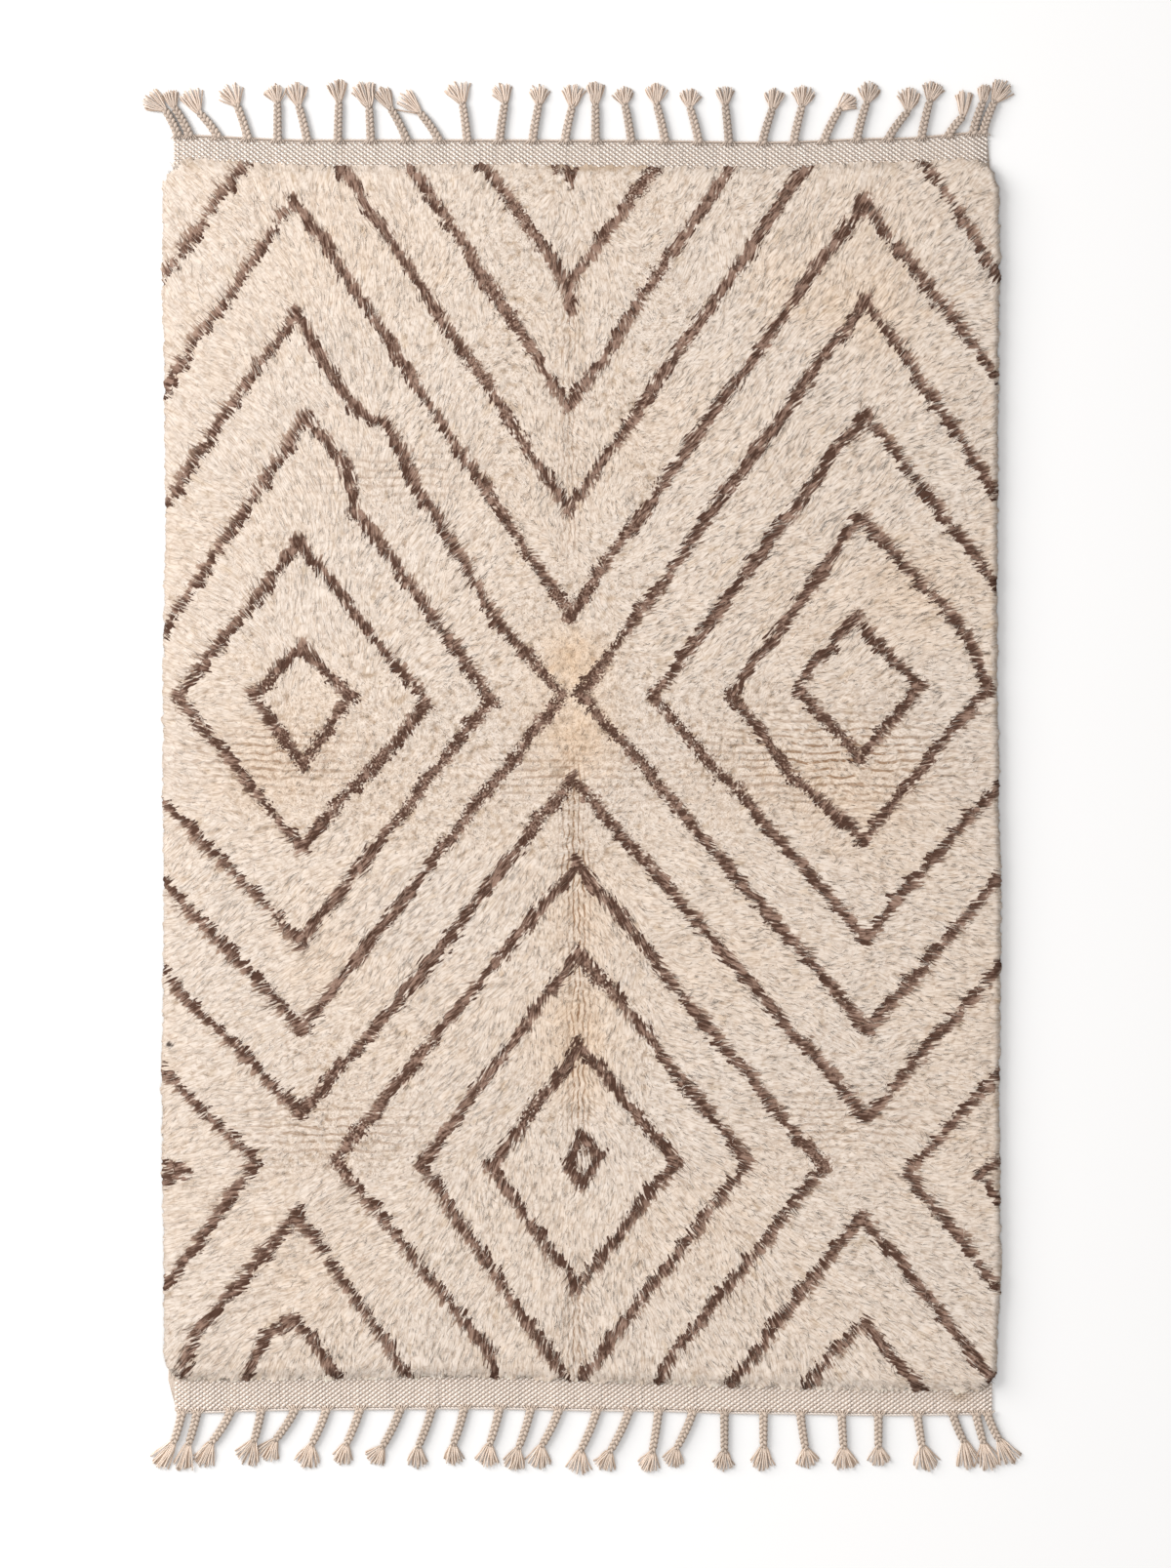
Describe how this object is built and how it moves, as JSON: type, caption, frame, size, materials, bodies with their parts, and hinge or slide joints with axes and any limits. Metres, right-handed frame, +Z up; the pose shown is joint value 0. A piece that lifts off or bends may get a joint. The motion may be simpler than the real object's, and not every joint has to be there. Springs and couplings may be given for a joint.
{
  "type": "beni ourain rug",
  "caption": "Rectangular knotted wool rug lying flat, with a deep pile, a flat-woven band at each end and plaited warp tassels along both bands.",
  "frame": {"origin": "on the floor, under the middle of the cloth", "axes": "+X across the rug, +Y along it towards the end with 28 braids, +Z up out of the floor"},
  "size_m": [1.5749, 2.5041, 0.0303],
  "materials": {
    "pile_wool": "matt undyed wool pile",
    "fringe_wool": "matt plied wool warp"
  },
  "bodies": {
    "root": {"rug_cloth": "pile_wool", "fringe_top": "fringe_wool", "fringe_bottom": "fringe_wool"}
  },
  "joints": []
}
